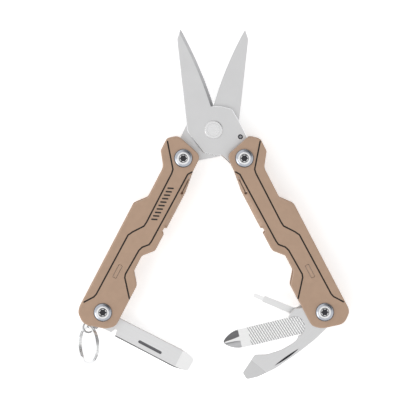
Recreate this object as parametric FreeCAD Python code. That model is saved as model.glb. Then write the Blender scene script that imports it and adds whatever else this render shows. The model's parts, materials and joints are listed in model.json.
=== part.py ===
import FreeCAD, Part
import math
import os

# Keychain multi tool, in millimetres, lying flat: thickness along Z, blade tips towards +Y.
# Everything is drawn about the scissor rivet's axis, and moved to the frame's origin when written.
# Right-hand pieces are drawn directly; left-hand ones are drawn on the right and mirrored.

V = FreeCAD.Vector

# Place of the rivet's axis in the finished frame (origin: middle of the base of the bounding box)
RIVET_X = 0.33
RIVET_Y = 23.96

# Linkage
PIVOT_REACH = 13.34        # rivet to each upper handle pivot
PIVOT_SPREAD = 47.2        # angle of that pivot from straight down
HANDLE_SPAN = 55.8         # upper to lower pivot of a handle
HANDLE_TILT = 27.6         # angle of a handle from straight down

# Thickness levels, from the rear screw heads (0) to the front ones
HEAD_HIGH = 0.9
PLATE = 1.2
CHANNEL = 7.6
REAR_PLATE = HEAD_HIGH
REAR_INSIDE = REAR_PLATE + PLATE
FRONT_INSIDE = REAR_INSIDE + CHANNEL
FRONT_FACE = FRONT_INSIDE + PLATE
TOTAL_HIGH = FRONT_FACE + HEAD_HIGH
MID = TOTAL_HIGH / 2
SLIDE_GAP = 0.05           # between faces that slide on each other

# Pivot hardware
POST_R = 1.5
POST_HOLE_R = 1.55
SCREW_R = 0.78
SCREW_BORE_R = 0.8
SCREW_DEEP = 5.6
HEAD_R = 2.95
HEAD_RIM_R = 1.95
HEAD_EDGE = 0.22
HEAD_STEP = 0.16           # raised rim above the top of the flank
COUNTERSINK_R = 1.5
SOCKET_R = 1.15
SOCKET_LOBE_R = 0.27
SOCKET_DEEP = 0.65
LOBES = 6

# Scissors
BLADE = 1.57
FRONT_BLADE_BACK = MID + 0.03
REAR_BLADE_FRONT = MID - 0.03
RIVET_SHANK_R = 1.5
RIVET_HEAD_R = 2.95
RIVET_HEAD = 0.45
RIVET_ROUND = 0.26
RIVET_GRIP = 0.02          # play between the shank and the front blade
BEVEL_WIDE = 0.95
BEVEL_DEEP = 1.35
BLADE_EASE = 0.2
CROTCH = (0.0, 7.7)
FRONT_TIP = (-10.6, 32.35)
FRONT_BOW = (-3.8, 18.15)  # a point on the bowed cutting edge
REAR_TIP = (-10.15, 32.2)
REAR_BOW = (-3.5, 18.15)
SPINE_STEP = 0.6           # how much the rear blade's spine is set in
FRONT_HEEL = [(-3.3, -7.4, 1.5), (1.2, -8.45, 0.4), (2.3, -8.1, 0.4), (4.2, -9.8, 0.5)]
REAR_HEEL = [(-3.2, -7.4, 1.5), (-2.0, -8.55, 0.4), (4.7, -9.9, 0.4)]
SPRING_R = 4.1
SPRING_WIRE = 0.6
SPRING_GROOVE = 0.9
SPRING_END = (8.64, -2.24)
SPRING_HOLE_R = 0.85
SPRING_BUTTON_R = 0.8      # collar that keeps the spring's end in that hole
SPRING_PIN_R = 0.42

# Handle frame: sheet outline along the handle (x) and outwards (y) from its upper pivot
WEB_TOP = 5.5
WEB_END = 22.0
WEB_EDGE = [(WEB_TOP, -5.2), (9.2, -5.75), (WEB_END, -5.75)]   # outer face of the folded web
BEND_R = 1.7
RIM_R = 0.42
GROOVE_WIDE = 0.5
GROOVE_DEEP = 0.28
TAB_MID = (41.9, 1.9)
TAB_LONG = 4.4
TAB_WIDE = 1.1
TAB_GAP = 0.12
TAB_SUNK = 0.06            # tab face below the plate's
FRONT_BLADE_NOTCH = (4.2, 6.0)   # levels cleared in the tool springs for the folded blades' tips
REAR_BLADE_NOTCH = (5.8, 7.6)
SLIT_START = (4.3, -4.62)
SLIT_END = (10.1, -4.75)
SLIT_WIDE = 0.3
SLIT_HOLE_R = 0.48

FRAME_OUTLINE = [
    (-3.3, -4.6, 2.4), (-5.65, 4.6, 2.8), (-3.2, 7.5, 1.6), (1.3, 7.45, 1.6), (5.6, 4.25, 3.5),
    (16.3, 4.2, 1.2), (20.2, 7.4, 1.4), (59.3, 7.4, 3.2), (62.1, 3.8, 3.6), (60.1, -3.2, 5.0),
    (57.9, -5.75, 3.0), (43.1, -5.75, 1.5), (39.4, -2.75, 1.5), (33.9, -2.75, 1.5),
    (30.5, -5.75, 1.5), (24.4, -5.75, 0.45), (24.0, -4.95, 0.25), (22.7, -4.95, 0.25),
    (22.3, -5.75, 0.4), (9.2, -5.75, 4.0), (2.5, -4.75, 6.0),
]
OUTER_GROOVE = [
    (-2.45, 7.0), (4.65, 1.3), (6.0, 1.05), (23.5, 0.95), (25.1, 1.1), (28.4, 3.45),
    (30.0, 4.3), (51.6, 4.55), (52.7, 4.85), (55.6, 6.85),
]
INNER_GROOVE = [
    (2.6, -4.5), (3.9, -3.65), (28.2, -3.3), (29.6, -3.1), (31.4, -1.5), (32.8, -1.05),
    (41.6, -0.75), (42.6, -1.1), (47.9, -5.5),
]

# Angles of the tools from their stowed place along the handle
FILE_OUT = 75.8
DRIVER_OUT = 39.2
OPENER_OUT = 101.3
PACKAGE_OUT = 89.5
BOSS_R = 3.2
TOOL_EASE = 0.18           # chamfer round a tool's front face
PACKAGE_EDGE = [(7.0, 5.6), (28.6, 5.86), (33.5, 4.95)]    # ground edge of the package opener
EDGE_BEVEL_WIDE = 0.4
EDGE_BEVEL_ANGLE = 55.0
CROSS_AXIS = 2.2           # the cross tip's axis, beside the file's pivot
FLUTE_R = 1.9
NICK_DEEP = 0.6
BITE_R = 3.2               # the bottle opener's hollow
SPACER_R = 3.4
TOOL_BOSS_CLEAR_R = 3.35   # tool spring's end to the lower pivot
OPENER_SWEEP_R = 11.9      # swept by the bottle opener's beak

# Layers of the lower stacks, each (low, high)
OPENER_LAYER = (8.15, 9.65)
FILE_LAYER = (5.95, 8.05)
DRIVER_LAYER = (4.35, 5.75)
RIGHT_SPACER_LAYER = (REAR_INSIDE, 4.3)
PACKAGE_LAYER = (2.15, 3.75)
MIDDLE_SPACER_LAYER = (3.8, 5.35)
BAIL_LAYER = (5.4, 6.4)
LEFT_SPACER_LAYER = (6.45, FRONT_INSIDE)

# Lanyard bail and split key ring, on the left handle's lower pivot
BAIL_REACH = 6.9
BAIL_TURN = 14.6           # from the handle's axis, outwards
BAIL_BOSS_R = 2.4
BAIL_STEP = 0.08           # lug faces below the boss's
EYE_R = 1.68
EYE_WIRE_R = 0.3
RING_AT = (4.63, -10.81)   # centre from the pivot, drawn on the right
RING_OUTER_R = 6.3
RING_RADIAL = 0.8
RING_AXIAL = 1.2
RING_LEAN = 60.5           # turn about its long axis


def outline(corners, z):
    """Closed wire through (x, y, corner radius) points; ("via", x, y) bows the edge it is on."""
    points = [corner for corner in corners if corner[0] != "via"]
    count = len(points)
    ends = []
    for i, (x, y, radius) in enumerate(points):
        corner = V(x, y, z)
        if radius == 0:
            ends.append((corner, None, corner))
            continue
        back = (V(points[i - 1][0], points[i - 1][1], z) - corner).normalize()
        ahead_point = points[(i + 1) % count]
        ahead = (V(ahead_point[0], ahead_point[1], z) - corner).normalize()
        half = back.getAngle(ahead) / 2
        middle = (back + ahead).normalize()
        reach = radius / math.tan(half)
        apex = corner + middle * (radius / math.sin(half) - radius)
        ends.append((corner + back * reach, apex, corner + ahead * reach))
    edges = []
    index = -1
    for i, item in enumerate(corners):
        if item[0] == "via":
            continue
        index += 1
        start, apex, leave = ends[index]
        if apex is not None:
            edges.append(Part.Arc(start, apex, leave).toShape())
        arrive = ends[(index + 1) % count][0]
        follower = corners[(i + 1) % len(corners)]
        if follower[0] == "via":
            edges.append(Part.Arc(leave, V(follower[1], follower[2], z), arrive).toShape())
        elif (arrive - leave).Length > 1e-6:
            edges.append(Part.LineSegment(leave, arrive).toShape())
    return Part.Wire(edges)


def slab(corners, low, high):
    """Flat piece with the given outline, from z = low to z = high."""
    return Part.Face(outline(corners, low)).extrude(V(0, 0, high - low))


def disc(radius, low, high, x=0.0, y=0.0):
    return Part.makeCylinder(radius, high - low, V(x, y, low))


def edges_at(shape, z):
    """Edges that lie in the plane at height z."""
    found = []
    for edge in shape.Edges:
        box = edge.BoundBox
        if abs(box.ZMin - z) < 1e-4 and abs(box.ZMax - z) < 1e-4:
            found.append(edge)
    return found


def near(edge, x, y, reach):
    """Whether an edge's middle lies within reach of (x, y)."""
    middle = edge.valueAt((edge.FirstParameter + edge.LastParameter) / 2)
    return math.hypot(middle.x - x, middle.y - y) < reach


def track(points, width, low, high):
    """Round-ended strip of constant width along a chain of (x, y) points."""
    pieces = []
    for start, end in zip(points, points[1:]):
        run = V(end[0] - start[0], end[1] - start[1], 0)
        bar = Part.makeBox(run.Length, width, high - low, V(0, -width / 2, low))
        bar.rotate(V(0, 0, 0), V(0, 0, 1), math.degrees(math.atan2(run.y, run.x)))
        bar.translate(V(start[0], start[1], 0))
        pieces.append(bar)
    for x, y in points:
        pieces.append(disc(width / 2, low, high, x, y))
    return pieces[0].fuse(pieces[1:])


def flipped(shape):
    """Front to back about the mid plane, as a mirror image."""
    return shape.mirror(V(0, 0, MID), V(0, 0, 1))


def mirrored(shape):
    """Right to left."""
    return shape.mirror(V(0, 0, 0), V(1, 0, 0))


def upper_pivot():
    spread = math.radians(PIVOT_SPREAD)
    return V(PIVOT_REACH * math.sin(spread), -PIVOT_REACH * math.cos(spread), 0)


def lower_pivot():
    tilt = math.radians(HANDLE_TILT)
    return upper_pivot() + V(HANDLE_SPAN * math.sin(tilt), -HANDLE_SPAN * math.cos(tilt), 0)


def on_handle(shape):
    """Move a piece drawn along +X from the upper pivot onto the right handle."""
    placed = shape.copy()
    placed.rotate(V(0, 0, 0), V(0, 0, 1), HANDLE_TILT - 90)
    placed.translate(upper_pivot())
    return placed


def on_lower_pivot(shape, swing_out):
    """Move a tool drawn along +X from its pivot to its opened place on the right handle."""
    placed = shape.copy()
    placed.rotate(V(0, 0, 0), V(0, 0, 1), HANDLE_TILT + 90 + swing_out)
    placed.translate(lower_pivot())
    return placed


# ---- scissors ----

def blade_blank(low, high, tip, bow, spine_in, heel):
    """A blade's flat shape: blade up and to the left, tang down and to the right."""
    pivot = upper_pivot()
    tilt = math.radians(HANDLE_TILT)

    def at(along, outward, radius):
        x = pivot.x + along * math.sin(tilt) + outward * math.cos(tilt)
        y = pivot.y - along * math.cos(tilt) + outward * math.sin(tilt)
        return (x, y, radius)

    corners = [
        (*tip, 0), (spine_in - 11.75, 29.2, 0.8), (spine_in - 11.6, 27.4, 3.0),
        (spine_in - 8.45, -0.6, 3.5), *heel, at(0.4, -4.5, 1.0),
        at(WEB_TOP - SLIDE_GAP, -4.95, 0.45), at(WEB_TOP - SLIDE_GAP, 1.0, 1.5),
        at(3.6, 4.2, 2.5), at(-3.3, 4.0 - spine_in / 2, 2.0),
        (8.4, 2.5 - spine_in / 2, 2.0), (5.9, 6.7, 0.8), (3.0, 7.45, 3.0), (*CROTCH, 0),
        ("via", *bow),
    ]
    return slab(corners, low, high)


def bevel_cutter(high, tip, bow):
    """Conical wedge that hollows the face z = high along the bowed cutting edge."""
    arc = Part.Arc(V(*CROTCH, 0), V(*bow, 0), V(*tip, 0))
    centre = arc.toShape().Curve.Center
    start = V(*CROTCH, 0) - centre
    radius = start.Length
    section = Part.Wire(Part.makePolygon([
        V(radius - BEVEL_WIDE, 0, high), V(radius + 1, 0, high + 0.01),
        V(radius + 1, 0, high - BEVEL_DEEP * (1 + 1 / BEVEL_WIDE)), V(radius - BEVEL_WIDE, 0, high),
    ]))
    wedge = Part.Face(section).revolve(V(0, 0, 0), V(0, 0, 1), 16)
    wedge.rotate(V(0, 0, 0), V(0, 0, 1), math.degrees(math.atan2(start.y, start.x)))
    wedge.translate(V(centre.x, centre.y, 0))
    return wedge


def blade_form(tip, bow, spine_in, heel):
    """Blade with its cutting bevel, eased rim and tang hole, at the front blade's level."""
    low = FRONT_BLADE_BACK
    high = low + BLADE
    blade = blade_blank(low, high, tip, bow, spine_in, heel)
    rim = [edge for edge in edges_at(blade, high) if not near(edge, bow[0], bow[1], 1.0)]
    blade = blade.makeChamfer(BLADE_EASE, rim)
    pivot = upper_pivot()
    tang_hole = disc(POST_HOLE_R, low - 1, high + 1, pivot.x, pivot.y)
    return blade.cut([bevel_cutter(high, tip, bow), tang_hole])


def front_blade():
    low = FRONT_BLADE_BACK
    high = low + BLADE
    blade = blade_form(FRONT_TIP, FRONT_BOW, 0.0, FRONT_HEEL)
    blade = blade.cut(disc(RIVET_SHANK_R + RIVET_GRIP, low - 1, high + 1))
    groove = disc(SPRING_R + SPRING_GROOVE / 2, low - 1, low + SPRING_GROOVE)
    groove = groove.cut(disc(SPRING_R - SPRING_GROOVE / 2, low - 2, high))
    leg = track([(SPRING_R, 0), SPRING_END], SPRING_GROOVE, low - 1, low + SPRING_GROOVE)
    blade = blade.cut([groove, leg])
    return blade.cut(disc(SPRING_HOLE_R, low - 1, high + 1, SPRING_END[0], SPRING_END[1]))


def rear_blade():
    """A slimmer form turned over, with a small anchor hole for the spring's other end."""
    blade = blade_form(REAR_TIP, REAR_BOW, SPINE_STEP, REAR_HEEL)
    blade = blade.cut(disc(RIVET_SHANK_R + SLIDE_GAP, 0, TOTAL_HIGH))
    blade.rotate(V(0, 0, MID), V(0, 1, 0), 180)
    anchor = disc(SPRING_WIRE / 2 + 0.05, 0, TOTAL_HIGH, 0, -SPRING_R)
    return blade.cut(anchor)


def scissor_rivet():
    front = FRONT_BLADE_BACK + BLADE
    rear = REAR_BLADE_FRONT - BLADE - SLIDE_GAP
    rivet = disc(RIVET_SHANK_R, rear, front)
    for low, face in ((front, front + RIVET_HEAD), (rear - RIVET_HEAD, rear - RIVET_HEAD)):
        head = disc(RIVET_HEAD_R, low, low + RIVET_HEAD)
        head = head.makeFillet(RIVET_ROUND, edges_at(head, face))
        rivet = rivet.fuse(head)
    return rivet.removeSplitter()


def scissor_spring():
    """One turn of round wire: a pinned leg in the front blade's hole, an end down in the rear blade."""
    wire_r = SPRING_WIRE / 2
    level = FRONT_BLADE_BACK + wire_r + 0.1
    coil = Part.makeTorus(SPRING_R, wire_r, V(0, 0, level), V(0, 0, 1))
    gap = Part.makeBox(SPRING_R * 2, 1.2, 2, V(0, -1.2, level - 1))
    gap.rotate(V(0, 0, 0), V(0, 0, 1), -42)
    coil = coil.cut(gap)
    end = V(SPRING_END[0], SPRING_END[1], level)
    start = V(SPRING_R, 0, level)
    leg = Part.makeCylinder(wire_r, (end - start).Length, start, end - start)
    button = Part.makeCylinder(SPRING_BUTTON_R, 0.7, end - V(0, 0, wire_r))
    riser = Part.makeCylinder(SPRING_PIN_R, BLADE - 0.5, end)
    foot = Part.makeCylinder(wire_r, 1.3, V(0, -SPRING_R, level), V(0, 0, -1))
    return coil.fuse([leg, button, riser, foot]).removeSplitter()


# ---- handle frames ----

def web_strip():
    """Corners of the web: its outer face, and its inner one a sheet's thickness further in."""
    outside = [(x, y, 0) for x, y in WEB_EDGE]
    inside = [(x, y + PLATE, 0) for x, y in reversed(WEB_EDGE)]
    return outside + inside


def bend_cutter(high):
    """What to take off to round the sheet's bend at the outer face z = high."""
    pieces = []
    for start, end in zip(WEB_EDGE, WEB_EDGE[1:]):
        run = V(end[0] - start[0], end[1] - start[1], 0)
        corner = Part.makeBox(run.Length, BEND_R + 1, BEND_R + 1, V(0, -1, high - BEND_R))
        keep = Part.makeCylinder(BEND_R, run.Length + 2, V(-1, BEND_R, high - BEND_R), V(1, 0, 0))
        inner = Part.makeBox(run.Length + 2, 2, BEND_R + 2, V(-1, BEND_R, high - BEND_R))
        piece = corner.cut([keep, inner])
        piece.rotate(V(0, 0, 0), V(0, 0, 1), math.degrees(math.atan2(run.y, run.x)))
        piece.translate(V(start[0], start[1], 0))
        pieces.append(piece)
    return pieces


def plate():
    """Front plate with its rounded rim."""
    sheet = slab(FRAME_OUTLINE, FRONT_INSIDE, FRONT_FACE)
    return sheet.makeFillet(RIM_R, edges_at(sheet, FRONT_FACE))


def plate_cuts():
    """Grooves, slit and tab slot of the front plate."""
    floor = FRONT_FACE - GROOVE_DEEP
    above = FRONT_FACE + 1
    below = FRONT_INSIDE - 0.5
    return [
        track(OUTER_GROOVE, GROOVE_WIDE, floor, above),
        track(INNER_GROOVE, GROOVE_WIDE, floor, above),
        track([SLIT_START, SLIT_END], SLIT_WIDE, below, above),
        disc(SLIT_HOLE_R, below, above, *SLIT_END),
        slab(tab_corners(TAB_GAP), below, above),
    ]


def tab_corners(gap):
    """Rectangle of the tool spring's tab, or of the slot that is wider by a gap all round."""
    half_long = TAB_LONG / 2 + gap
    half_wide = TAB_WIDE / 2 + gap
    return [(TAB_MID[0] + dx * half_long, TAB_MID[1] + dy * half_wide, 0.2 + gap)
            for dx, dy in ((-1, -1), (1, -1), (1, 1), (-1, 1))]


def handle_frame():
    front = plate()
    rear = flipped(front)
    web = slab(web_strip(), REAR_PLATE, FRONT_FACE)
    frame = front.fuse([rear, web])
    cutters = bend_cutter(FRONT_FACE)
    cutters = cutters + [flipped(cutter) for cutter in cutters]
    cutters = cutters + plate_cuts() + [flipped(cutter) for cutter in plate_cuts()]
    for x in (0, HANDLE_SPAN):
        cutters.append(disc(POST_HOLE_R, -1, TOTAL_HIGH + 1, x, 0))
    return frame.cut(cutters)


def tool_spring(blade_slot, opener_sweep):
    """Back spring of the lower tools, with a tab in each plate and room for the stowed blade tip."""
    body = slab([(39.7, 1.1, 0.2), (52.6, 1.1, 0.2), (52.6, 3.3, 0.5), (39.7, 3.3, 0.5)],
                REAR_INSIDE, FRONT_INSIDE)
    body = body.cut(disc(TOOL_BOSS_CLEAR_R, 0, TOTAL_HIGH, HANDLE_SPAN, 0))
    notch = Part.makeBox(8, 4, blade_slot[1] - blade_slot[0], V(38.3, 0.5, blade_slot[0]))
    body = body.cut(notch)
    if opener_sweep:
        sweep = disc(OPENER_SWEEP_R, OPENER_LAYER[0] - SLIDE_GAP, FRONT_INSIDE + 1, HANDLE_SPAN, 0)
        body = body.cut(sweep)
    front_tab = slab(tab_corners(0), FRONT_INSIDE - 0.5, FRONT_FACE - TAB_SUNK)
    return body.fuse([front_tab, flipped(front_tab)]).removeSplitter()


# ---- pivots ----

def socket_cutter(top):
    """Six-lobed driver socket."""
    lobes = [disc(SOCKET_R - 0.2, top - SOCKET_DEEP, top + 1)]
    for i in range(LOBES):
        angle = math.radians(i * 360.0 / LOBES)
        reach = SOCKET_R - SOCKET_LOBE_R
        lobes.append(disc(SOCKET_LOBE_R, top - SOCKET_DEEP, top + 1,
                          reach * math.cos(angle), reach * math.sin(angle)))
    return lobes[0].fuse(lobes[1:]).removeSplitter()


def domed_head(base):
    """Head with a short edge, a bowed flank and a raised flat rim, on the plane z = base, upwards."""
    top = base + HEAD_HIGH
    shoulder = top - HEAD_STEP
    profile = Part.Wire([
        Part.LineSegment(V(0, 0, base), V(HEAD_R, 0, base)).toShape(),
        Part.LineSegment(V(HEAD_R, 0, base), V(HEAD_R, 0, base + HEAD_EDGE)).toShape(),
        Part.Arc(V(HEAD_R, 0, base + HEAD_EDGE), V(2.58, 0, base + 0.57),
                 V(HEAD_RIM_R + 0.03, 0, shoulder)).toShape(),
        Part.LineSegment(V(HEAD_RIM_R + 0.03, 0, shoulder), V(HEAD_RIM_R, 0, top - 0.04)).toShape(),
        Part.LineSegment(V(HEAD_RIM_R, 0, top - 0.04), V(HEAD_RIM_R - 0.06, 0, top)).toShape(),
        Part.LineSegment(V(HEAD_RIM_R - 0.06, 0, top), V(0, 0, top)).toShape(),
        Part.LineSegment(V(0, 0, top), V(0, 0, base)).toShape(),
    ])
    return Part.Face(profile).revolve(V(0, 0, 0), V(0, 0, 1), 360)


def pivot_screw():
    head = domed_head(FRONT_FACE)
    shank = disc(SCREW_R, FRONT_FACE - SCREW_DEEP, FRONT_FACE)
    sink = Part.makeCone(SOCKET_R, COUNTERSINK_R, 0.3, V(0, 0, TOTAL_HIGH - 0.3))
    return head.fuse(shank).cut([sink, socket_cutter(TOTAL_HIGH)]).removeSplitter()


def pivot_post():
    head = flipped(domed_head(FRONT_FACE))
    barrel = disc(POST_R, REAR_PLATE, FRONT_FACE)
    bore = disc(SCREW_BORE_R, FRONT_FACE - SCREW_DEEP - 0.4, FRONT_FACE + 1)
    return head.fuse(barrel).cut(bore).removeSplitter()


def at_pivot(shape, pivot):
    placed = shape.copy()
    placed.translate(pivot)
    return placed


def spacer(radius, layer):
    ring = disc(radius, layer[0], layer[1])
    return ring.cut(disc(POST_HOLE_R, layer[0] - 1, layer[1] + 1))


# ---- tools, each drawn along +X from its pivot, its stowed inner edge towards +Y ----

def drilled(shape):
    return shape.cut(disc(POST_HOLE_R, -1, TOTAL_HIGH + 1))


def package_opener():
    low, high = PACKAGE_LAYER
    body = slab([
        (0, -0.4, 0), (28.1, -0.4, 8.0), (31.2, 0.0, 4.0), (33.45, 0.7, 0.9), (33.3, 5.1, 0.9),
        (30.6, 5.5, 2.0), (28.0, 5.85, 6.0), (7.15, 5.6, 0.3), (6.95, 3.6, 0.5), (6.1, 3.4, 0.5),
        (5.6, 5.0, 0.4), (-0.4, 5.15, 0.6), (-2.2, 2.4, 0), (0, 0, 0),
    ], low, high)
    body = body.makeChamfer(TOOL_EASE, edges_at(body, high))
    body = body.fuse(disc(BOSS_R, low, high))
    tip = Part.makeBox(8, 10, 4, V(0, -3, 0))
    tip.rotate(V(0, 0, 0), V(0, 1, 0), 14)
    tip.translate(V(28.9, 0, high))
    slot = track([(15.1, 3.5), (22.6, 3.6)], 0.95, high - 0.75, high + 1)
    bevels = []
    for start, end in zip(PACKAGE_EDGE, PACKAGE_EDGE[1:]):
        run = V(end[0] - start[0], end[1] - start[1], 0)
        bevel = Part.makeBox(run.Length, 2, 2)
        bevel.rotate(V(0, 0, 0), V(1, 0, 0), -EDGE_BEVEL_ANGLE)
        bevel.rotate(V(0, 0, 0), V(0, 0, 1), math.degrees(math.atan2(run.y, run.x)))
        bevel.translate(V(start[0], start[1] - EDGE_BEVEL_WIDE, high))
        bevels.append(bevel)
    return drilled(body.cut([tip, slot] + bevels))


def file_driver():
    low, high = FILE_LAYER
    middle = (low + high) / 2
    body = slab([(0, -0.75, 0), (28.4, -0.82, 0), (28.4, 5.22, 0), (0, 5.25, 0)], low, high)
    ogive = outline([
        (27.5, 0, 0), (27.5, 3.02, 0), (28.4, 3.02, 0), ("via", 31.5, 2.15), (33.7, 0.5, 0),
        (33.85, 0, 0),
    ], 0)
    tip = Part.Face(ogive).revolve(V(0, 0, 0), V(1, 0, 0), 360)
    tip.translate(V(0, CROSS_AXIS, middle))
    tip = tip.common(Part.makeBox(12, 10, high - low, V(24, -3, low)))
    body = body.fuse(tip)
    flutes = []
    for side in (-1, 1):
        start = V(28.5, CROSS_AXIS + side * 1.75, high + FLUTE_R - 0.4)
        end = V(34.4, CROSS_AXIS + side * 1.7, high + FLUTE_R - 1.05)
        flute = Part.makeCylinder(FLUTE_R, (end - start).Length, start, end - start)
        flutes.append(flute)
        flutes.append(flute.mirror(V(0, 0, middle), V(0, 0, 1)))
    return drilled(body.cut(flutes).fuse(disc(BOSS_R, low, high)))


def bottle_opener():
    low, high = OPENER_LAYER
    body = slab([
        (0, 4.3, 0), (7.5, 5.0, 20.0), (14.6, 4.95, 20.0), (23.6, 4.3, 18.0), (30.0, 2.75, 6.0),
        (33.1, 1.25, 0.8), (32.8, -1.2, 0.8), (26.1, -3.3, 0.5), (22.9, -0.9, 4.0),
        (18.4, 0.85, 8.0), (14.2, 1.5, 4.0), (11.3, 1.35, 2.0), (10.2, -5.95, 0.5),
        (8.6, -6.65, 0.7), (6.6, -6.75, 1.0), (4.6, -5.6, 1.5), (2.2, -3.0, 0), (0, -3.0, 0),
    ], low, high)
    body = body.cut(disc(BITE_R, low - 1, high + 1, 10.4, -2.25))
    rim = [edge for edge in edges_at(body, high) if not near(edge, 0, 1.0, 2.6)]
    body = body.makeChamfer(TOOL_EASE, rim)
    body = body.fuse(disc(BOSS_R, low, high))
    tip = Part.makeBox(9, 12, 4, V(0, -6, 0))
    tip.rotate(V(0, 0, 0), V(0, 1, 0), 9.5)
    tip.rotate(V(0, 0, 0), V(0, 0, 1), 12)
    tip.translate(V(27.5, 0, high))
    nick = slab([(13.7, 4.0, 0), ("via", 18.5, 4.12), (23.4, 3.35, 0), ("via", 18.5, 3.42)],
                high - NICK_DEEP, high + 1)
    return drilled(body.cut([tip, nick]))


def small_driver():
    low, high = DRIVER_LAYER
    body = slab([
        (0, -0.8, 0), (6.4, -0.8, 2.0), (8.8, 2.75, 1.5), (19.5, 2.95, 0.2),
        (19.5, 5.05, 0.2), (8.6, 5.0, 1.5), (0, 4.0, 0),
    ], low, high)
    body = body.fuse(disc(BOSS_R, low, high))
    tip = slab([(19.0, 3.35, 0), (22.9, 3.4, 0.3), (22.9, 4.8, 0.3), (19.0, 4.85, 0)], low, high)
    for level, turn in ((high - 0.15, 9.0), (low + 0.15, -9.0)):
        wedge = Part.makeBox(6, 6, 4, V(0, 0, 0 if turn > 0 else -4))
        wedge.rotate(V(0, 0, 0), V(0, 1, 0), turn)
        wedge.translate(V(19.5, 1, level))
        tip = tip.cut(wedge)
    return drilled(body.fuse(tip).removeSplitter())


def lanyard_bail():
    """Flat lug on the pivot, with one square shoulder, ending in a round wire eye."""
    low, high = BAIL_LAYER
    boss = disc(BAIL_BOSS_R, low, high)
    end = BAIL_REACH - EYE_R
    lug = slab([
        (0, -BAIL_BOSS_R, 0), (end + 0.4, -BAIL_BOSS_R, 0.3), (end + 0.75, -1.2, 0), (end, -0.4, 0),
        (end, 0.5, 0), (0, 1.4, 0),
    ], low + BAIL_STEP, high - BAIL_STEP)
    eye = Part.makeTorus(EYE_R, EYE_WIRE_R, V(BAIL_REACH, 0, MID), V(0, 0, 1))
    bail = boss.fuse([lug, eye]).cut(disc(POST_HOLE_R, low - 1, high + 1))
    bail.rotate(V(0, 0, 0), V(0, 0, 1), HANDLE_TILT - 90 + BAIL_TURN)
    bail.translate(lower_pivot())
    return bail


def key_ring():
    """Split ring, its two turns side by side made as one band."""
    inner = RING_OUTER_R - RING_RADIAL
    ring = disc(RING_OUTER_R, -RING_AXIAL / 2, RING_AXIAL / 2)
    ring = ring.cut(disc(inner, -RING_AXIAL, RING_AXIAL))
    ring = ring.makeFillet(0.2, ring.Edges)
    ring.rotate(V(0, 0, 0), V(0, 1, 0), RING_LEAN)
    pivot = lower_pivot()
    ring.translate(V(pivot.x + RING_AT[0], pivot.y + RING_AT[1], MID))
    return ring


def all_nodes():
    upper = upper_pivot()
    lower = lower_pivot()
    front_tang = FRONT_BLADE_BACK + BLADE + SLIDE_GAP
    front_tang_rear = FRONT_BLADE_BACK - SLIDE_GAP
    rear_tang_front = REAR_BLADE_FRONT + SLIDE_GAP
    rear_tang = REAR_BLADE_FRONT - BLADE - SLIDE_GAP
    frame = on_handle(handle_frame())
    right_spring = on_handle(tool_spring(FRONT_BLADE_NOTCH, True))
    left_spring = on_handle(tool_spring(REAR_BLADE_NOTCH, False))
    spacers = {
        "right_upper_front_spacer": at_pivot(spacer(SPACER_R, (front_tang, FRONT_INSIDE)), upper),
        "right_upper_rear_spacer": at_pivot(spacer(SPACER_R, (REAR_INSIDE, front_tang_rear)), upper),
        "right_lower_spacer": at_pivot(spacer(BOSS_R, RIGHT_SPACER_LAYER), lower),
    }
    left_layers = {
        "left_upper_front_spacer": (SPACER_R, (rear_tang_front, FRONT_INSIDE), upper),
        "left_upper_rear_spacer": (SPACER_R, (REAR_INSIDE, rear_tang), upper),
        "left_lower_middle_spacer": (BOSS_R, MIDDLE_SPACER_LAYER, lower),
        "left_lower_front_spacer": (BOSS_R, LEFT_SPACER_LAYER, lower),
    }
    for name, (radius, layer, pivot) in left_layers.items():
        spacers[name] = mirrored(at_pivot(spacer(radius, layer), pivot))
    nodes = {
        "front_blade": front_blade(),
        "rear_blade": rear_blade(),
        "scissor_rivet": scissor_rivet(),
        "scissor_spring": scissor_spring(),
        "right_frame": frame,
        "left_frame": mirrored(frame),
        "right_tool_spring": right_spring,
        "left_tool_spring": mirrored(left_spring),
        **spacers,
        "bottle_opener": on_lower_pivot(bottle_opener(), OPENER_OUT),
        "file_driver": on_lower_pivot(file_driver(), FILE_OUT),
        "small_driver": on_lower_pivot(small_driver(), DRIVER_OUT),
        "package_opener": mirrored(on_lower_pivot(package_opener(), PACKAGE_OUT)),
        "lanyard_bail": mirrored(lanyard_bail()),
        "key_ring": mirrored(key_ring()),
    }
    for side in ("right", "left"):
        for place, pivot in (("upper", upper), ("lower", lower)):
            for name, piece in (("pivot_screw", pivot_screw()), ("pivot_post", pivot_post())):
                placed = at_pivot(piece, pivot)
                if side == "left":
                    placed = mirrored(placed)
                nodes[side + "_" + place + "_" + name] = placed
    return nodes


def main():
    os.makedirs("parts", exist_ok=True)
    for name, shape in all_nodes().items():
        shape.translate(V(RIVET_X, RIVET_Y, 0))
        count = len(shape.Solids)
        print("%-26s solids %d  volume %9.3f mm3  valid %s" % (name, count, shape.Volume, shape.isValid()))
        shape.exportStep("parts/" + name + ".step")


main()
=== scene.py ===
import json
import math

import bmesh
import bpy
from mathutils import Matrix, Vector


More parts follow.
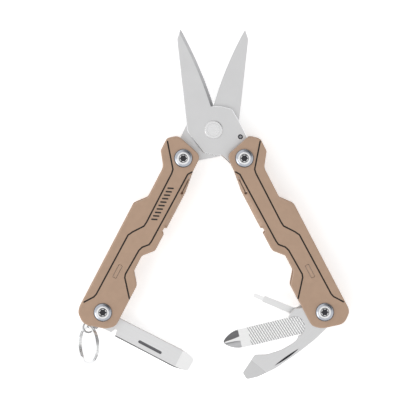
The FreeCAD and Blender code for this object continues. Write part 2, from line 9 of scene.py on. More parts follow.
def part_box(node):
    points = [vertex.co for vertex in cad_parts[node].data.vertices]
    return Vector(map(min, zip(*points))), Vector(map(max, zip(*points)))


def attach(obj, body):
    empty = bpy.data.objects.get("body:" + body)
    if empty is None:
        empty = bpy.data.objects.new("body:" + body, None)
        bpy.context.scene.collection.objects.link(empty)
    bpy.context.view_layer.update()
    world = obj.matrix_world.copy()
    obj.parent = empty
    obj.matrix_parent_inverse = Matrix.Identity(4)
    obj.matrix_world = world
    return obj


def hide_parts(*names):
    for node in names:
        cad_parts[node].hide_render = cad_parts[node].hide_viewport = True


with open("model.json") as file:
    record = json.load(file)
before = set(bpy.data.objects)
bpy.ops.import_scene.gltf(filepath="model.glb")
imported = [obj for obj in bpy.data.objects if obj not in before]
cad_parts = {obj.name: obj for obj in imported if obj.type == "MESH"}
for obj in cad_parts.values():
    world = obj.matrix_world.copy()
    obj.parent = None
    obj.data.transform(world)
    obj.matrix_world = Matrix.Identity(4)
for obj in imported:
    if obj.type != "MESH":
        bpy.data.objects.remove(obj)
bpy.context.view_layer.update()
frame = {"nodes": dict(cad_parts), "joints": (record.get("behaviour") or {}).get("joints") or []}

# Folding keychain multi tool. Everything here is in metres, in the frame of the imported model:
# thickness along Z, blade tips towards +Y. Sizes are written in millimetres times MM.
MM = 0.001
NODES = frame["nodes"]
JOINTS = {joint["name"]: joint for joint in frame["joints"]}


def pivot_of(joint):
    return Vector(JOINTS[joint]["pos_m"])


RIVET = pivot_of("scissor_pivot")
SPRING_END = RIVET + Vector((8.64 * MM, -2.24 * MM, 0))
RIGHT_UPPER = pivot_of("right_handle_pivot")
LEFT_UPPER = pivot_of("left_handle_pivot")
RIGHT_LOWER = pivot_of("file_pivot")
LEFT_LOWER = pivot_of("package_opener_pivot")
MID = RIVET.z
FRAME_LOW, FRAME_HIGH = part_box("right_frame")
CROSS_AXIS = 2.2 * MM               # the cross tip's axis, beside the file's pivot
PLATE_HALF = (FRAME_HIGH.z - FRAME_LOW.z) / 2      # mid plane to a plate's outer face
GROOVE_DEEP = 0.28 * MM


def heading(start, end):
    """Angle of the way from one point to another, seen from above."""
    return math.atan2(end.y - start.y, end.x - start.x)


def opened(joint, handle_heading):
    """Heading of a tool that has swung out from its stowed place along the handle."""
    swing = math.radians(JOINTS[joint]["range_deg"][0])
    return handle_heading - JOINTS[joint]["axis"][2] * swing


RIGHT_HEADING = heading(RIGHT_LOWER, RIGHT_UPPER)
LEFT_HEADING = heading(LEFT_LOWER, LEFT_UPPER)
FILE_HEADING = opened("file_pivot", RIGHT_HEADING)
DRIVER_HEADING = opened("small_driver_pivot", RIGHT_HEADING)
OPENER_HEADING = opened("bottle_opener_pivot", RIGHT_HEADING)
PACKAGE_HEADING = opened("package_opener_pivot", LEFT_HEADING)


# ---- materials ----

class Look:
    """A material with its Principled shader, and short ways to add nodes to it."""

    def __init__(self, name, color, metallic, roughness, specular=0.5):
        self.material = bpy.data.materials.new(name)
        self.material.use_nodes = True
        self.tree = self.material.node_tree
        self.shader = self.tree.nodes["Principled BSDF"]
        self.set("Base Color", (*color, 1))
        self.set("Metallic", metallic)
        self.set("Roughness", roughness)
        self.set("Specular IOR Level", specular)
        self.place = self.node("ShaderNodeTexCoord")

    def feed(self, socket, value):
        """Link a socket to another node's output, or set its value."""
        if isinstance(value, bpy.types.NodeSocket):
            self.tree.links.new(value, socket)
        else:
            socket.default_value = value

    def set(self, name, value):
        self.feed(self.shader.inputs[name], value)

    def node(self, kind, inputs=(), **settings):
        made = self.tree.nodes.new(kind)
        for key, value in settings.items():
            setattr(made, key, value)
        for key, value in dict(inputs).items():
            self.feed(made.inputs[key], value)
        return made

    def math(self, operation, a, b=0.0):
        return self.node("ShaderNodeMath", {0: a, 1: b}, operation=operation).outputs[0]

    def ramp(self, value, low, high):
        """0 below low, 1 above high, smooth between; the other way round if low is above high."""
        inputs = {"Value": value, "From Min": low, "From Max": high}
        return self.node("ShaderNodeMapRange", inputs, interpolation_type="SMOOTHSTEP").outputs[0]

    def within(self, value, low, high, soft):
        rise = self.ramp(value, low - soft, low + soft)
        fall = self.ramp(value, high + soft, high - soft)
        return self.math("MULTIPLY", rise, fall)

    def both(self, a, b):
        return self.math("MULTIPLY", a, b)

    def either(self, a, b):
        return self.math("MAXIMUM", a, b)

    def mix(self, share, a, b):
        """Colour a where share is 0, colour b where it is 1."""
        made = self.node("ShaderNodeMix", data_type="RGBA")
        self.feed(made.inputs[0], share)
        self.feed(made.inputs[6], a if isinstance(a, bpy.types.NodeSocket) else (*a, 1))
        self.feed(made.inputs[7], b if isinstance(b, bpy.types.NodeSocket) else (*b, 1))
        return made.outputs[2]

    def blend(self, share, a, b):
        """Number a where share is 0, number b where it is 1."""
        inputs = {"Value": share, "To Min": a, "To Max": b}
        return self.node("ShaderNodeMapRange", inputs).outputs[0]

    def noise(self, scale, vector=None, detail=2.0):
        vector = vector or self.place.outputs["Object"]
        inputs = {"Vector": vector, "Scale": scale, "Detail": detail}
        return self.node("ShaderNodeTexNoise", inputs).outputs["Fac"]

    def split(self, vector):
        return self.node("ShaderNodeSeparateXYZ", {0: vector}).outputs

    def local(self, pivot, angle):
        """The piece's own coordinates, with a pivot as origin and X along a heading."""
        inputs = {"Vector": self.place.outputs["Object"], "Location": (pivot.x, pivot.y, 0.0),
                  "Rotation": (0.0, 0.0, angle)}
        return self.node("ShaderNodeMapping", inputs, vector_type="TEXTURE").outputs[0]

    def stretched(self, vector, along):
        """Coordinates squeezed along X, so that noise becomes lines in that direction."""
        inputs = {"Vector": vector, "Scale": (1 / along, 1.0, 1.0)}
        return self.node("ShaderNodeMapping", inputs).outputs[0]

    def radius(self, centre):
        """Distance from a vertical axis."""
        x, y, _ = self.split(self.place.outputs["Object"])
        across = self.math("POWER", self.math("SUBTRACT", x, centre.x), 2.0)
        along = self.math("POWER", self.math("SUBTRACT", y, centre.y), 2.0)
        return self.math("SQRT", self.math("ADD", across, along))

    def height(self):
        """Distance from the mid plane."""
        z = self.split(self.place.outputs["Object"])[2]
        return self.math("ABSOLUTE", self.math("SUBTRACT", z, MID))

    def facing(self):
        """1 on level faces, 0 on upright ones."""
        return self.math("ABSOLUTE", self.split(self.place.outputs["Normal"])[2])

    def bump(self, *layers):
        """Surface relief from (height, depth in metres) layers."""
        normal = None
        for height, depth in layers:
            inputs = {"Height": height, "Distance": depth, "Strength": 1.0}
            if normal is not None:
                inputs["Normal"] = normal
            normal = self.node("ShaderNodeBump", inputs).outputs[0]
        self.set("Normal", normal)


def paint(look, *names):
    """Give CAD nodes a new material, in place of their own."""
    for name in names:
        mesh = NODES[name].data
        mesh.materials.clear()
        mesh.materials.append(look.material)


TAN = (0.466, 0.316, 0.224)
# Lighter rim tone of the coating: partly wear, partly a painted highlight
TAN_LIGHT = (0.56, 0.42, 0.33)
TAN_DARK = (0.30, 0.19, 0.12)
GROOVE_BROWN = (0.022, 0.017, 0.013)
STEEL = (0.72, 0.72, 0.725)
RIVET_STEEL = (0.8, 0.8, 0.805)
STEEL_DARK = (0.30, 0.30, 0.31)
# Near-black painted shade, for hollows, sockets and holes
PAINTED_SHADE = (0.05, 0.05, 0.055)
# Painted shade on the blades' ground bevel
BEVEL_GREY = (0.46, 0.46, 0.47)
# Painted highlight on the blades' chamfered edges
EDGE_HIGHLIGHT = (0.86, 0.86, 0.87)
PACKAGE_STEEL = (0.77, 0.77, 0.775)
# Painted highlight on the package opener's tip bevel
PACKAGE_TIP_HIGHLIGHT = (0.93, 0.93, 0.93)
# Painted shade along the package opener's ground lower edge
GROUND_EDGE_SHADE = (0.09, 0.09, 0.095)
# Painted shade inside the package opener's nail slot
SLOT_SHADE = (0.16, 0.16, 0.17)
# Painted shade on the bottle opener's tip bevel
OPENER_TIP_SHADE = [c * 0.79 for c in STEEL]
DRIVER_STEEL = (0.83, 0.83, 0.83)
# Painted highlight on the small driver's flattened tip
DRIVER_TIP_HIGHLIGHT = (0.88, 0.88, 0.88)
FILE_STEEL = (0.9, 0.9, 0.9)
TOOTH_STEEL = (0.98, 0.98, 0.98)
# Painted shade between the file's teeth
TOOTH_ROOT_SHADE = (0.34, 0.34, 0.35)
# Cross-tip flutes: painted shade on one side, painted light on the other
FLUTE_SHADE_SIDE = (0.17, 0.17, 0.175)
FLUTE_LIT_SIDE = (0.5, 0.5, 0.51)
SPACER_STEEL = (0.5, 0.5, 0.51)
BAIL_STEEL = (0.42, 0.42, 0.43)
NICKEL = (0.74, 0.745, 0.75)

# How level a face is (1 level, 0 upright) for the faces that get a look of their own
LEVEL = (0.93, 0.97)
BLADE_BEVEL = (0.3, 0.63)
BLADE_EASE = (0.66, 0.76)
GROUND_SLOPE = (0.5, 0.65)
PACKAGE_TIP_SLOPE = (0.955, 0.985)
OPENER_TIP_SLOPE = (0.975, 0.993)

# Places along the tools, from their pivots
GROUND_START = (6.6 * MM, 7.0 * MM)
PACKAGE_SLOT = (14.4 * MM, 23.3 * MM)
PACKAGE_TIP_START = (28.6 * MM, 28.9 * MM)
OPENER_NICK = (14.2 * MM, 23.6 * MM)
OPENER_TIP_START = (26.5 * MM, 27.0 * MM)
DRIVER_TIP_START = (19.4 * MM, 19.7 * MM)
ROOTS_START = 3.4 * MM
FLUTES_START = (28.4 * MM, 28.5 * MM)
HOLLOW_DEPTH = (0.25 * MM, 1.1 * MM)


def coating_colour(look):
    """Tan with faint mottling, lighter where the sheet's rim turns over: partly wear from rubbing, partly a
    painted highlight.
    """
    mottled = look.mix(look.ramp(look.noise(420.0), 0.3, 0.7), TAN, [c * 1.05 for c in TAN])
    rim = look.within(look.facing(), 0.45, 0.93, 0.08)
    # Painted highlight mixed with wear: the rim is lightened where it turns over, broken up by noise
    rubbed_and_highlit = look.both(rim, look.ramp(look.noise(900.0), 0.35, 0.65))
    return look.mix(look.math("MULTIPLY", rubbed_and_highlit, 0.45), mottled, TAN_LIGHT)


def coating_grain(look):
    """Powder-coat orange peel and finer grain."""
    look.bump((look.noise(2600.0), 0.022 * MM), (look.noise(9000.0, detail=4.0), 0.008 * MM))


def handle_look():
    look = Look("tan_coating", TAN, 0.0, 0.5, specular=0.4)
    facing = look.facing()
    height = look.height()
    floor_height = PLATE_HALF - GROOVE_DEEP
    floor = look.both(look.ramp(facing, *LEVEL),
                      look.within(height, floor_height - 0.1 * MM, floor_height + 0.1 * MM, 0.02 * MM))
    wall = look.both(look.ramp(facing, 0.15, 0.1), look.ramp(height, floor_height, floor_height + 0.03 * MM))
    groove = look.either(floor, wall)
    look.set("Base Color", look.mix(groove, coating_colour(look), GROOVE_BROWN))
    look.set("Roughness", look.blend(look.noise(700.0), 0.44, 0.6))
    coating_grain(look)
    return look


def blade_look(name, angle):
    """Blasted steel with a ground cutting bevel; the bevel carries painted shade and the chamfered edges a
    painted highlight.
    """
    look = Look(name, STEEL, 1.0, 0.4)
    local = look.local(RIVET, angle)
    facing = look.facing()
    bevel = look.within(facing, *BLADE_BEVEL, 0.02)
    eased = look.within(facing, *BLADE_EASE, 0.03)
    cloud = look.noise(160.0)
    face = look.mix(look.ramp(cloud, 0.3, 0.7), [c * 0.97 for c in STEEL], STEEL)
    # Ground bevel painted darker grey: painted shade
    ground = look.mix(bevel, face, BEVEL_GREY)
    # Chamfers painted near-white with low roughness: painted highlight
    look.set("Base Color", look.mix(eased, ground, EDGE_HIGHLIGHT))
    look.set("Roughness", look.blend(eased, look.blend(cloud, 0.36, 0.46), 0.16))
    blast = look.noise(7000.0, detail=3.0)
    lines = look.noise(5200.0, look.stretched(local, 14.0))
    look.bump((blast, 0.004 * MM), (look.both(lines, bevel), 0.012 * MM))
    return look


def tool_steel(name, pivot, angle, color=STEEL, roughness=0.36):
    """Satin steel brushed along the tool. Returns the look, the tool's own x and y, and its colour."""
    look = Look(name, color, 1.0, roughness)
    local = look.local(pivot, angle)
    x, y, _ = look.split(local)
    brushed = look.noise(3600.0, look.stretched(local, 18.0), detail=3.0)
    shade = look.mix(look.ramp(brushed, 0.35, 0.65), [c * 0.98 for c in color], color)
    look.set("Base Color", shade)
    look.set("Roughness", look.blend(brushed, roughness - 0.03, roughness + 0.04))
    look.bump((brushed, 0.0015 * MM), (look.noise(8000.0), 0.002 * MM))
    return look, x, y, shade


def depth_below(look, node):
    """How far a point lies below a CAD node's front face."""
    z = look.split(look.place.outputs["Object"])[2]
    return look.math("SUBTRACT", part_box(node)[1].z, z)


def darken_hollow(look, shade, x, span, depth, colour=PAINTED_SHADE):
    """Painted shade inside a hollow between two places along the tool, above the tool's rear face."""
    start, end = span
    inside = look.both(look.within(x, start, end, 0.05 * MM), look.ramp(look.facing(), 0.3, 0.45))
    mask = look.both(inside, look.within(depth, *HOLLOW_DEPTH, 0.09 * MM))
    look.set("Base Color", look.mix(mask, shade, colour))


def package_opener_look():
    look, x, _, shade = tool_steel("package_opener_steel", LEFT_LOWER, PACKAGE_HEADING, PACKAGE_STEEL)
    facing = look.facing()
    ground = look.both(look.ramp(x, *GROUND_START), look.within(facing, *GROUND_SLOPE, 0.02))
    tip = look.both(look.ramp(x, *PACKAGE_TIP_START), look.within(facing, *PACKAGE_TIP_SLOPE, 0.005))
    # Tip bevel painted lighter: painted highlight
    shade = look.mix(tip, shade, PACKAGE_TIP_HIGHLIGHT)
    # Ground edge painted near-black: painted shade
    shade = look.mix(ground, shade, GROUND_EDGE_SHADE)
    darken_hollow(look, shade, x, PACKAGE_SLOT, depth_below(look, "package_opener"), SLOT_SHADE)
    return look


def bottle_opener_look():
    look, x, _, shade = tool_steel("bottle_opener_steel", RIGHT_LOWER, OPENER_HEADING)
    tip = look.both(look.ramp(x, *OPENER_TIP_START), look.within(look.facing(), *OPENER_TIP_SLOPE, 0.003))
    # Tip bevel painted darker than the body: painted shade
    shade = look.mix(tip, shade, OPENER_TIP_SHADE)
    darken_hollow(look, shade, x, OPENER_NICK, depth_below(look, "bottle_opener"))
    return look


def small_driver_look():
    look, x, _, shade = tool_steel("small_driver_steel", RIGHT_LOWER, DRIVER_HEADING, DRIVER_STEEL)
    tip = look.ramp(x, *DRIVER_TIP_START)
    # Flattened tip painted lighter than the shaft: painted highlight
    look.set("Base Color", look.mix(tip, shade, DRIVER_TIP_HIGHLIGHT))
    return look


def file_look():
    """Smooth steel, with painted shade between the teeth and along the flutes of the cross tip, the flutes
    painted darker on one side than the other.
    """
    look, x, y, shade = tool_steel("file_steel", RIGHT_LOWER, FILE_HEADING, FILE_STEEL, 0.3)
    roots = look.both(look.within(x, ROOTS_START, TEETH_END, 0.02 * MM), look.ramp(look.facing(), *LEVEL))
    low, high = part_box("file_driver")
    half = (high.z - low.z) / 2
    from_middle = look.math("ABSOLUTE", look.math("SUBTRACT", depth_below(look, "file_driver"), half))
    sunk = look.ramp(from_middle, half - 0.04 * MM, half - 0.2 * MM)
    flutes = look.both(look.ramp(x, *FLUTES_START), sunk)
    side = look.ramp(y, CROSS_AXIS - 0.1 * MM, CROSS_AXIS + 0.1 * MM)
    # Painted shade on the file face between the teeth
    shade = look.mix(roots, shade, TOOTH_ROOT_SHADE)
    # Flutes painted dark on one side and lighter on the other: painted shade and light
    look.set("Base Color", look.mix(flutes, shade, look.mix(side, FLUTE_SHADE_SIDE, FLUTE_LIT_SIDE)))
    return look


def tooth_look():
    look = Look("file_tooth_steel", TOOTH_STEEL, 1.0, 0.3)
    look.set("Roughness", look.blend(look.noise(3000.0), 0.24, 0.38))
    look.bump((look.noise(9000.0), 0.003 * MM))
    return look


def turned_look(name, centre, color, roughness, pitch):
    """Steel turned on a lathe: fine rings round an axis. Returns the look and the radius."""
    look = Look(name, color, 1.0, roughness)
    radius = look.radius(centre)
    rings = look.math("SINE", look.math("MULTIPLY", radius, 2 * math.pi / pitch))
    uneven = look.noise(1500.0)
    look.set("Roughness", look.blend(uneven, roughness - 0.04, roughness + 0.08))
    look.bump((look.both(rings, uneven), 0.003 * MM))
    return look, radius


SOCKET_R = 1.17 * MM
SINK_R = 1.5 * MM
RIM_R = 1.95 * MM
HEAD_R = 2.95 * MM
HEAD_TOP = MID       # the heads' flat rims lie this far from the mid plane
# Pivot head tones: painted reflection on the flank, painted shade at the edge and in the countersink
HEAD_RIM = (0.88, 0.88, 0.885)
HEAD_FLANK_SHADE = (0.50, 0.52, 0.57)
HEAD_EDGE_SHADE = (0.16, 0.165, 0.18)
SINK_SHADE = (0.3, 0.3, 0.31)


def pivot_look(name, centre):
    """Turned head: bright flat rim, greyer flank, dark edge, darker still down in its socket; the flank tone
    is a painted reflection, and the edge, countersink and socket carry painted shade.
    """
    look, radius = turned_look(name, centre, HEAD_RIM, 0.2, 0.12 * MM)
    flank = look.ramp(radius, RIM_R, RIM_R + 0.08 * MM)
    edge = look.ramp(radius, HEAD_R - 0.3 * MM, HEAD_R - 0.1 * MM)
    deep = look.both(look.ramp(radius, SOCKET_R + 0.04 * MM, SOCKET_R),
                     look.ramp(look.height(), HEAD_TOP - 0.3 * MM, HEAD_TOP - 0.45 * MM))
    sink = look.both(look.ramp(radius, SINK_R, SINK_R - 0.12 * MM), look.ramp(look.facing(), 0.98, 0.9))
    # Painted reflection on the flank, painted shade at the edge, in the countersink and in the socket
    shade = look.mix(flank, HEAD_RIM, HEAD_FLANK_SHADE)
    shade = look.mix(edge, shade, HEAD_EDGE_SHADE)
    shade = look.mix(sink, shade, SINK_SHADE)
    look.set("Base Color", look.mix(deep, shade, PAINTED_SHADE))
    return look


def spring_look():
    """Dark spring steel, coated tan on the tab faces that show in the plates."""
    look = Look("tool_spring_steel", STEEL_DARK, 1.0, 0.35)
    tab = look.both(look.ramp(look.height(), 4.2 * MM, 4.4 * MM), look.ramp(look.facing(), 0.8, 0.9))
    look.set("Base Color", look.mix(tab, STEEL_DARK, coating_colour(look)))
    look.set("Metallic", look.blend(tab, 1.0, 0.0))
    look.set("Roughness", look.blend(tab, 0.35, 0.52))
    coating_grain(look)
    return look


def plain_steel_look(name, color, roughness):
    """Plain turned or drawn steel with a slightly uneven finish."""
    look = Look(name, color, 1.0, roughness)
    patch = look.noise(1200.0)
    look.set("Roughness", look.blend(patch, roughness - 0.05, roughness + 0.08))
    look.bump((look.noise(6000.0), 0.003 * MM))
    return look


def plating_look():
    """Bright nickel with fine handling scratches."""
    look = Look("bright_nickel", NICKEL, 1.0, 0.1)
    scratches = look.ramp(look.noise(5000.0, detail=4.0), 0.55, 0.7)
    look.set("Roughness", look.blend(scratches, 0.07, 0.2))
    look.bump((look.noise(1500.0), 0.003 * MM))
    return look


def ink_look():
    look = Look("dark_print", GROOVE_BROWN, 0.0, 0.55)
    worn = look.ramp(look.noise(5000.0), 0.62, 0.8)
    look.set("Base Color", look.mix(look.math("MULTIPLY", worn, 0.2), GROOVE_BROWN, TAN_DARK))
    look.bump((look.noise(9000.0), 0.004 * MM))
    return look


def paint_cad_nodes():
    paint(handle_look(), "right_frame", "left_frame")
    paint(blade_look("front_blade_steel", math.radians(110.0)), "front_blade")
    paint(blade_look("rear_blade_steel", math.radians(70.0)), "rear_blade")
    rivet, radius = turned_look("rivet_steel", RIVET, RIVET_STEEL, 0.26, 0.16 * MM)
    ring = rivet.within(radius, 2.0 * MM, 2.12 * MM, 0.05 * MM)
    rivet.set("Base Color", rivet.mix(ring, RIVET_STEEL, [c * 0.8 for c in RIVET_STEEL]))
    paint(rivet, "scissor_rivet")
    paint(package_opener_look(), "package_opener")
    paint(bottle_opener_look(), "bottle_opener")
    paint(small_driver_look(), "small_driver")
    paint(file_look(), "file_driver")
    paint(spring_look(), "right_tool_spring", "left_tool_spring")
    paint(plain_steel_look("spacer_steel", SPACER_STEEL, 0.3),
          "right_upper_front_spacer", "right_upper_rear_spacer", "right_lower_spacer",
          "left_upper_front_spacer", "left_upper_rear_spacer", "left_lower_middle_spacer",
          "left_lower_front_spacer")
    wire = plain_steel_look("spring_wire", STEEL_DARK, 0.25)
    # Painted shadow: a dark ring round the spring's end where it shows in the front blade's hole
    hole_shadow = wire.within(wire.radius(SPRING_END), 0.44 * MM, 0.95 * MM, 0.02 * MM)
    wire.set("Base Color", wire.mix(hole_shadow, STEEL_DARK, PAINTED_SHADE))
    paint(wire, "scissor_spring")
    paint(plain_steel_look("bail_wire", BAIL_STEEL, 0.28), "lanyard_bail")
    for place, centre in (("right_upper", RIGHT_UPPER), ("right_lower", RIGHT_LOWER),
                          ("left_upper", LEFT_UPPER), ("left_lower", LEFT_LOWER)):
        look = pivot_look(place + "_pivot_steel", centre)
        paint(look, place + "_pivot_screw", place + "_pivot_post")


# ---- pieces ----

def make_piece(name, mesh, look, body, smooth_below=None):
    """Turn a bmesh into a piece that rides on a body."""
    data = bpy.data.meshes.new(name)
    bmesh.ops.recalc_face_normals(mesh, faces=mesh.faces)
    mesh.to_mesh(data)
    mesh.free()
    if smooth_below is not None:
        data.shade_smooth()
        data.set_sharp_from_angle(angle=math.radians(smooth_below))
    piece = bpy.data.objects.new(name, data)
    bpy.context.scene.collection.objects.link(piece)
    data.materials.append(look.material)
    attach(piece, body)
    return piece


TEETH_START = 2.4 * MM
TEETH_END = 25.3 * MM
FILE_EDGES = (-0.78 * MM, 5.2 * MM)
TOOTH_HIGH = 0.055 * MM
CUT_ANGLE = math.radians(110.0)     # main cuts, from the file's length
CROSS_ANGLE = math.radians(52.6)
CUT_PITCH = 0.77 * MM               # between main cuts, along the file
CROSS_PITCH = 1.15 * MM             # between cross cuts, along a main cut
CUT_KEEP = 0.72                     # share of the pitch left between two main cuts
CROSS_KEEP = 0.94


def tooth(mesh, centre, across, along, base_z, top_z):
    """One flat-topped tooth on a slanted four-sided base."""
    corners = ((-1, -1), (1, -1), (1, 1), (-1, 1))
    rings = []
    for shrink, z in ((1.0, base_z), (0.74, top_z)):
        ring = []
        for a, b in corners:
            point = centre + across * (a * shrink / 2) + along * (b * (shrink + 1) / 4)
            ring.append(mesh.verts.new((point.x, point.y, z)))
        rings.append(ring)
    base, top = rings
    mesh.faces.new(base)
    mesh.faces.new(top)
    for i in range(4):
        j = (i + 1) % 4
        mesh.faces.new((base[i], base[j], top[j], top[i]))


def trim(mesh, point, outwards):
    """Cut off what lies beyond a plane, and close the cut."""
    geometry = mesh.verts[:] + mesh.edges[:] + mesh.faces[:]
    bmesh.ops.bisect_plane(mesh, geom=geometry, plane_co=point, plane_no=outwards, clear_outer=True)
    open_edges = [edge for edge in mesh.edges if edge.is_boundary]
    if open_edges:
        bmesh.ops.holes_fill(mesh, edges=open_edges, sides=0)


def file_teeth(name, base_z, top_z, look):
    """Crosscut teeth over one face of the file."""
    mesh = bmesh.new()
    along = Vector((math.cos(CUT_ANGLE), math.sin(CUT_ANGLE), 0)) * CROSS_PITCH
    between = math.sin(CUT_ANGLE - CROSS_ANGLE)
    across = Vector((math.cos(CROSS_ANGLE), math.sin(CROSS_ANGLE), 0))
    across = across * (CUT_PITCH * math.sin(CUT_ANGLE) / between)
    low, high = FILE_EDGES
    middle = Vector(((TEETH_START + TEETH_END) / 2, (low + high) / 2, 0))
    reach = 24
    for i in range(-reach, reach + 1):
        for j in range(-reach, reach + 1):
            centre = middle + across * i + along * j
            inside_x = TEETH_START - CUT_PITCH < centre.x < TEETH_END + CUT_PITCH
            inside_y = low - CROSS_PITCH < centre.y < high + CROSS_PITCH
            if inside_x and inside_y:
                tooth(mesh, centre, across * CUT_KEEP, along * CROSS_KEEP, base_z, top_z)
    for point, outwards in (((TEETH_START, 0, 0), (-1, 0, 0)), ((TEETH_END, 0, 0), (1, 0, 0)),
                            ((0, low, 0), (0, -1, 0)), ((0, high, 0), (0, 1, 0))):
        trim(mesh, point, outwards)
    place = Matrix.Translation((RIGHT_LOWER.x, RIGHT_LOWER.y, 0)) @ Matrix.Rotation(FILE_HEADING, 4, "Z")
    mesh.transform(place)
    return make_piece(name, mesh, look, "file_tool")


RING_OUTER_R = 6.3 * MM
RING_RADIAL = 0.8 * MM
RING_AXIAL = 1.2 * MM
RING_LEAN = math.radians(-60.5)
TURN_GAP = 0.03 * MM                # between the two turns
STEP_SPAN = math.radians(26.0)      # where the wire crosses from one turn to the next
STEP_AT = math.radians(238.0)
RING_STEPS = 360


def wire_section(wide, high):
    """Rounded rectangle, as (radial, axial) points."""
    corner = 0.36 * min(wide, high)
    points = []
    for quarter, (a, b) in enumerate(((1, 1), (-1, 1), (-1, -1), (1, -1))):
        for k in range(6):
            angle = math.radians(quarter * 90 + k * 18)
            points.append((a * (wide / 2 - corner) + corner * math.cos(angle),
                           b * (high / 2 - corner) + corner * math.sin(angle)))
    return points


def split_ring(look):
    """Flat wire wound in two turns, with a crossing between its two free ends."""
    mesh = bmesh.new()
    turn_high = (RING_AXIAL - TURN_GAP) / 2
    offset = (RING_AXIAL - turn_high) / 2
    middle_r = RING_OUTER_R - RING_RADIAL / 2
    section = wire_section(RING_RADIAL, turn_high)
    start = STEP_AT + STEP_SPAN * 0.55
    finish = start + 4 * math.pi - STEP_SPAN * 1.1
    crossing = STEP_AT + 2 * math.pi
    rings = []
    for i in range(RING_STEPS + 1):
        angle = start + (finish - start) * i / RING_STEPS
        share = min(1.0, max(0.0, (angle - crossing) / STEP_SPAN + 0.5))
        level = offset * (2 * share * share * (3 - 2 * share) - 1)
        end_share = min(1.0, min(angle - start, finish - angle) / math.radians(5.0))
        taper = 0.72 + 0.28 * math.sqrt(end_share)
        ring = []
        for radial, axial in section:
            reach = middle_r + radial * taper
            ring.append(mesh.verts.new((reach * math.cos(angle), reach * math.sin(angle),
                                        level + axial * taper)))
        rings.append(ring)
    for low_ring, high_ring in zip(rings, rings[1:]):
        for j in range(len(section)):
            k = (j + 1) % len(section)
            mesh.faces.new((low_ring[j], low_ring[k], high_ring[k], high_ring[j]))
    mesh.faces.new(rings[0])
    mesh.faces.new(rings[-1])
    low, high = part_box("key_ring")
    place = Matrix.Translation((low + high) / 2) @ Matrix.Rotation(RING_LEAN, 4, "Y")
    mesh.transform(place)
    piece = make_piece("split_key_ring", mesh, look, "ring", smooth_below=40.0)
    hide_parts("key_ring")


MARK_START = 10.4 * MM
MARK_PITCH = 1.25 * MM
MARK_BARS = 10
MARK_LINE = -0.85 * MM              # middle of the row, outwards from the pivots' line
MARK_LONG = 1.05 * MM               # half a bar's length
MARK_WIDE = 0.26 * MM               # half a bar's width
MARK_SLANT = math.radians(24.0)
MARK_THICK = 0.02 * MM


def printed_bars(look):
    """Plain row of slanted bars printed on the left handle's front plate."""
    mesh = bmesh.new()
    for i in range(MARK_BARS):
        middle = Vector((MARK_START + i * MARK_PITCH, MARK_LINE, 0))
        turn = Matrix.Rotation(math.pi / 2 - MARK_SLANT, 4, "Z")
        rim = []
        for end, first in ((1, -90), (-1, 90)):
            for k in range(7):
                angle = math.radians(first + k * 30)
                point = Vector((end * (MARK_LONG - MARK_WIDE) + MARK_WIDE * math.cos(angle),
                                MARK_WIDE * math.sin(angle), 0))
                rim.append(mesh.verts.new(middle + turn @ point))
        face = mesh.faces.new(rim)
        raised = bmesh.ops.extrude_face_region(mesh, geom=[face])
        lifted = [item for item in raised["geom"] if isinstance(item, bmesh.types.BMVert)]
        bmesh.ops.translate(mesh, verts=lifted, vec=(0, 0, MARK_THICK))
    along = LEFT_LOWER - LEFT_UPPER
    turn = heading(LEFT_UPPER, LEFT_LOWER)
    flip = Matrix.Scale(-1, 4, (0, 1, 0)) if along.x < 0 else Matrix.Identity(4)
    place = Matrix.Translation((LEFT_UPPER.x, LEFT_UPPER.y, FRAME_HIGH.z)) @ Matrix.Rotation(turn, 4, "Z")
    mesh.transform(place @ flip)
    return make_piece("printed_bars", mesh, look, "left_handle")


def add_pieces():
    teeth = tooth_look()
    low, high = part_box("file_driver")
    file_teeth("file_teeth_front", high.z, high.z + TOOTH_HIGH, teeth)
    file_teeth("file_teeth_rear", low.z, low.z - TOOTH_HIGH, teeth)
    split_ring(plating_look())
    printed_bars(ink_look())


# ---- stage ----

FLOOR_HALF = 1.5
FLOOR_GLOW = 0.44                   # the floor's own light, which keeps its shadows faint
KEY_PLACE = (-0.45, -0.25, 0.5)
KEY_WIDE = 0.45
KEY_POWER = 0.9
CAMERA_LENS = 300.0
CAMERA_SENSOR = 36.0
PICTURE_WIDE = 133.6 * MM           # what the picture spans at the object
AIM = Vector((-1.5 * MM, -1.12 * MM, 9.0 * MM))
CAMERA_LEAN = Vector((-0.02, 0.04, 1.0))


def add_floor():
    mesh = bmesh.new()
    bmesh.ops.create_grid(mesh, x_segments=1, y_segments=1, size=FLOOR_HALF)
    data = bpy.data.meshes.new("floor")
    mesh.to_mesh(data)
    mesh.free()
    floor = bpy.data.objects.new("floor", data)
    bpy.context.scene.collection.objects.link(floor)
    look = Look("pale_floor", (0.93, 0.93, 0.93), 0.0, 0.9, specular=0.1)
    look.set("Base Color", look.mix(look.noise(30.0), (0.925, 0.925, 0.925), (0.935, 0.935, 0.935)))
    look.set("Emission Color", (1.0, 1.0, 1.0, 1.0))
    look.set("Emission Strength", FLOOR_GLOW)
    data.materials.append(look.material)


# Dimmer parts of the studio: (direction, flattening, start and end of the fall, dimmest)
DIM_PATCHES = [
    ((0.50, 0.60, 0.62), 1.0, 0.74, 0.95, 0.12),
    ((-0.10, -0.99, 0.0), 3.0, 0.50, 0.90, 0.10),
]
SKY_LEVEL = 0.95


def vector_step(tree, operation, source, factor=None):
    """Vector math node fed by a socket, with a constant second vector where it takes one."""
    made = tree.nodes.new("ShaderNodeVectorMath")
    made.operation = operation
    tree.links.new(source, made.inputs[0])
    if factor is not None:
        made.inputs[1].default_value = factor
    return made.outputs


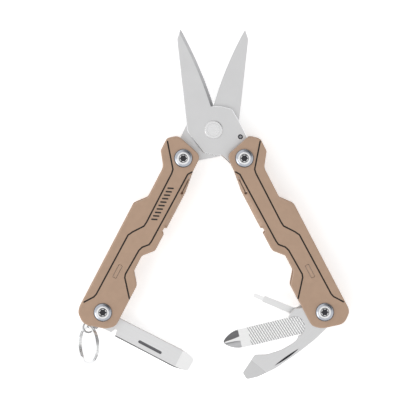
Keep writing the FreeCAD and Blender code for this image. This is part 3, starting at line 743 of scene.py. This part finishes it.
def sky_patch(tree, place, patch):
    """Brightness that falls off towards one direction."""
    direction, flattening, start, end, dimmest = patch
    flat = vector_step(tree, "MULTIPLY", place, (1.0, 1.0, flattening))
    unit = vector_step(tree, "NORMALIZE", flat[0])
    toward = vector_step(tree, "DOT_PRODUCT", unit[0], Vector(direction).normalized())
    shade = tree.nodes.new("ShaderNodeMapRange")
    shade.interpolation_type = "SMOOTHSTEP"
    for name, value in (("From Min", start), ("From Max", end), ("To Min", 1.0), ("To Max", dimmest)):
        shade.inputs[name].default_value = value
    tree.links.new(toward["Value"], shade.inputs["Value"])
    return shade.outputs[0]


def add_sky():
    """Pale even light from all round, with a few dimmer parts that give the metal its contrast."""
    world = bpy.data.worlds.new("studio")
    bpy.context.scene.world = world
    world.use_nodes = True
    tree = world.node_tree
    background = tree.nodes["Background"]
    place = tree.nodes.new("ShaderNodeTexCoord").outputs["Generated"]
    level = None
    for patch in DIM_PATCHES:
        dimmed = sky_patch(tree, place, patch)
        if level is None:
            level = dimmed
            continue
        product = tree.nodes.new("ShaderNodeMath")
        product.operation = "MULTIPLY"
        tree.links.new(level, product.inputs[0])
        tree.links.new(dimmed, product.inputs[1])
        level = product.outputs[0]
    tree.links.new(level, background.inputs["Color"])
    background.inputs["Strength"].default_value = SKY_LEVEL


def add_light(name, place, wide, power):
    lamp = bpy.data.lights.new(name, "AREA")
    lamp.shape = "DISK"
    lamp.size = wide
    lamp.energy = power
    light = bpy.data.objects.new(name, lamp)
    bpy.context.scene.collection.objects.link(light)
    light.location = place
    light.rotation_euler = (AIM - Vector(place)).to_track_quat("-Z", "Y").to_euler()


def add_camera():
    lens = bpy.data.cameras.new("camera")
    lens.lens = CAMERA_LENS
    lens.sensor_width = CAMERA_SENSOR
    distance = PICTURE_WIDE * CAMERA_LENS / CAMERA_SENSOR
    lens.clip_start = distance / 10
    lens.clip_end = distance * 10
    camera = bpy.data.objects.new("camera", lens)
    bpy.context.scene.collection.objects.link(camera)
    back = CAMERA_LEAN.normalized()
    right = Vector((0, 1, 0)).cross(back).normalized()
    turned = Matrix((right, back.cross(right), back)).transposed().to_4x4()
    camera.matrix_world = Matrix.Translation(AIM + back * distance) @ turned
    bpy.context.scene.camera = camera


def add_stage():
    add_floor()
    add_sky()
    add_light("key_softbox", KEY_PLACE, KEY_WIDE, KEY_POWER)
    add_camera()
    bpy.context.scene.view_settings.view_transform = "Standard"


paint_cad_nodes()
add_pieces()
add_stage()
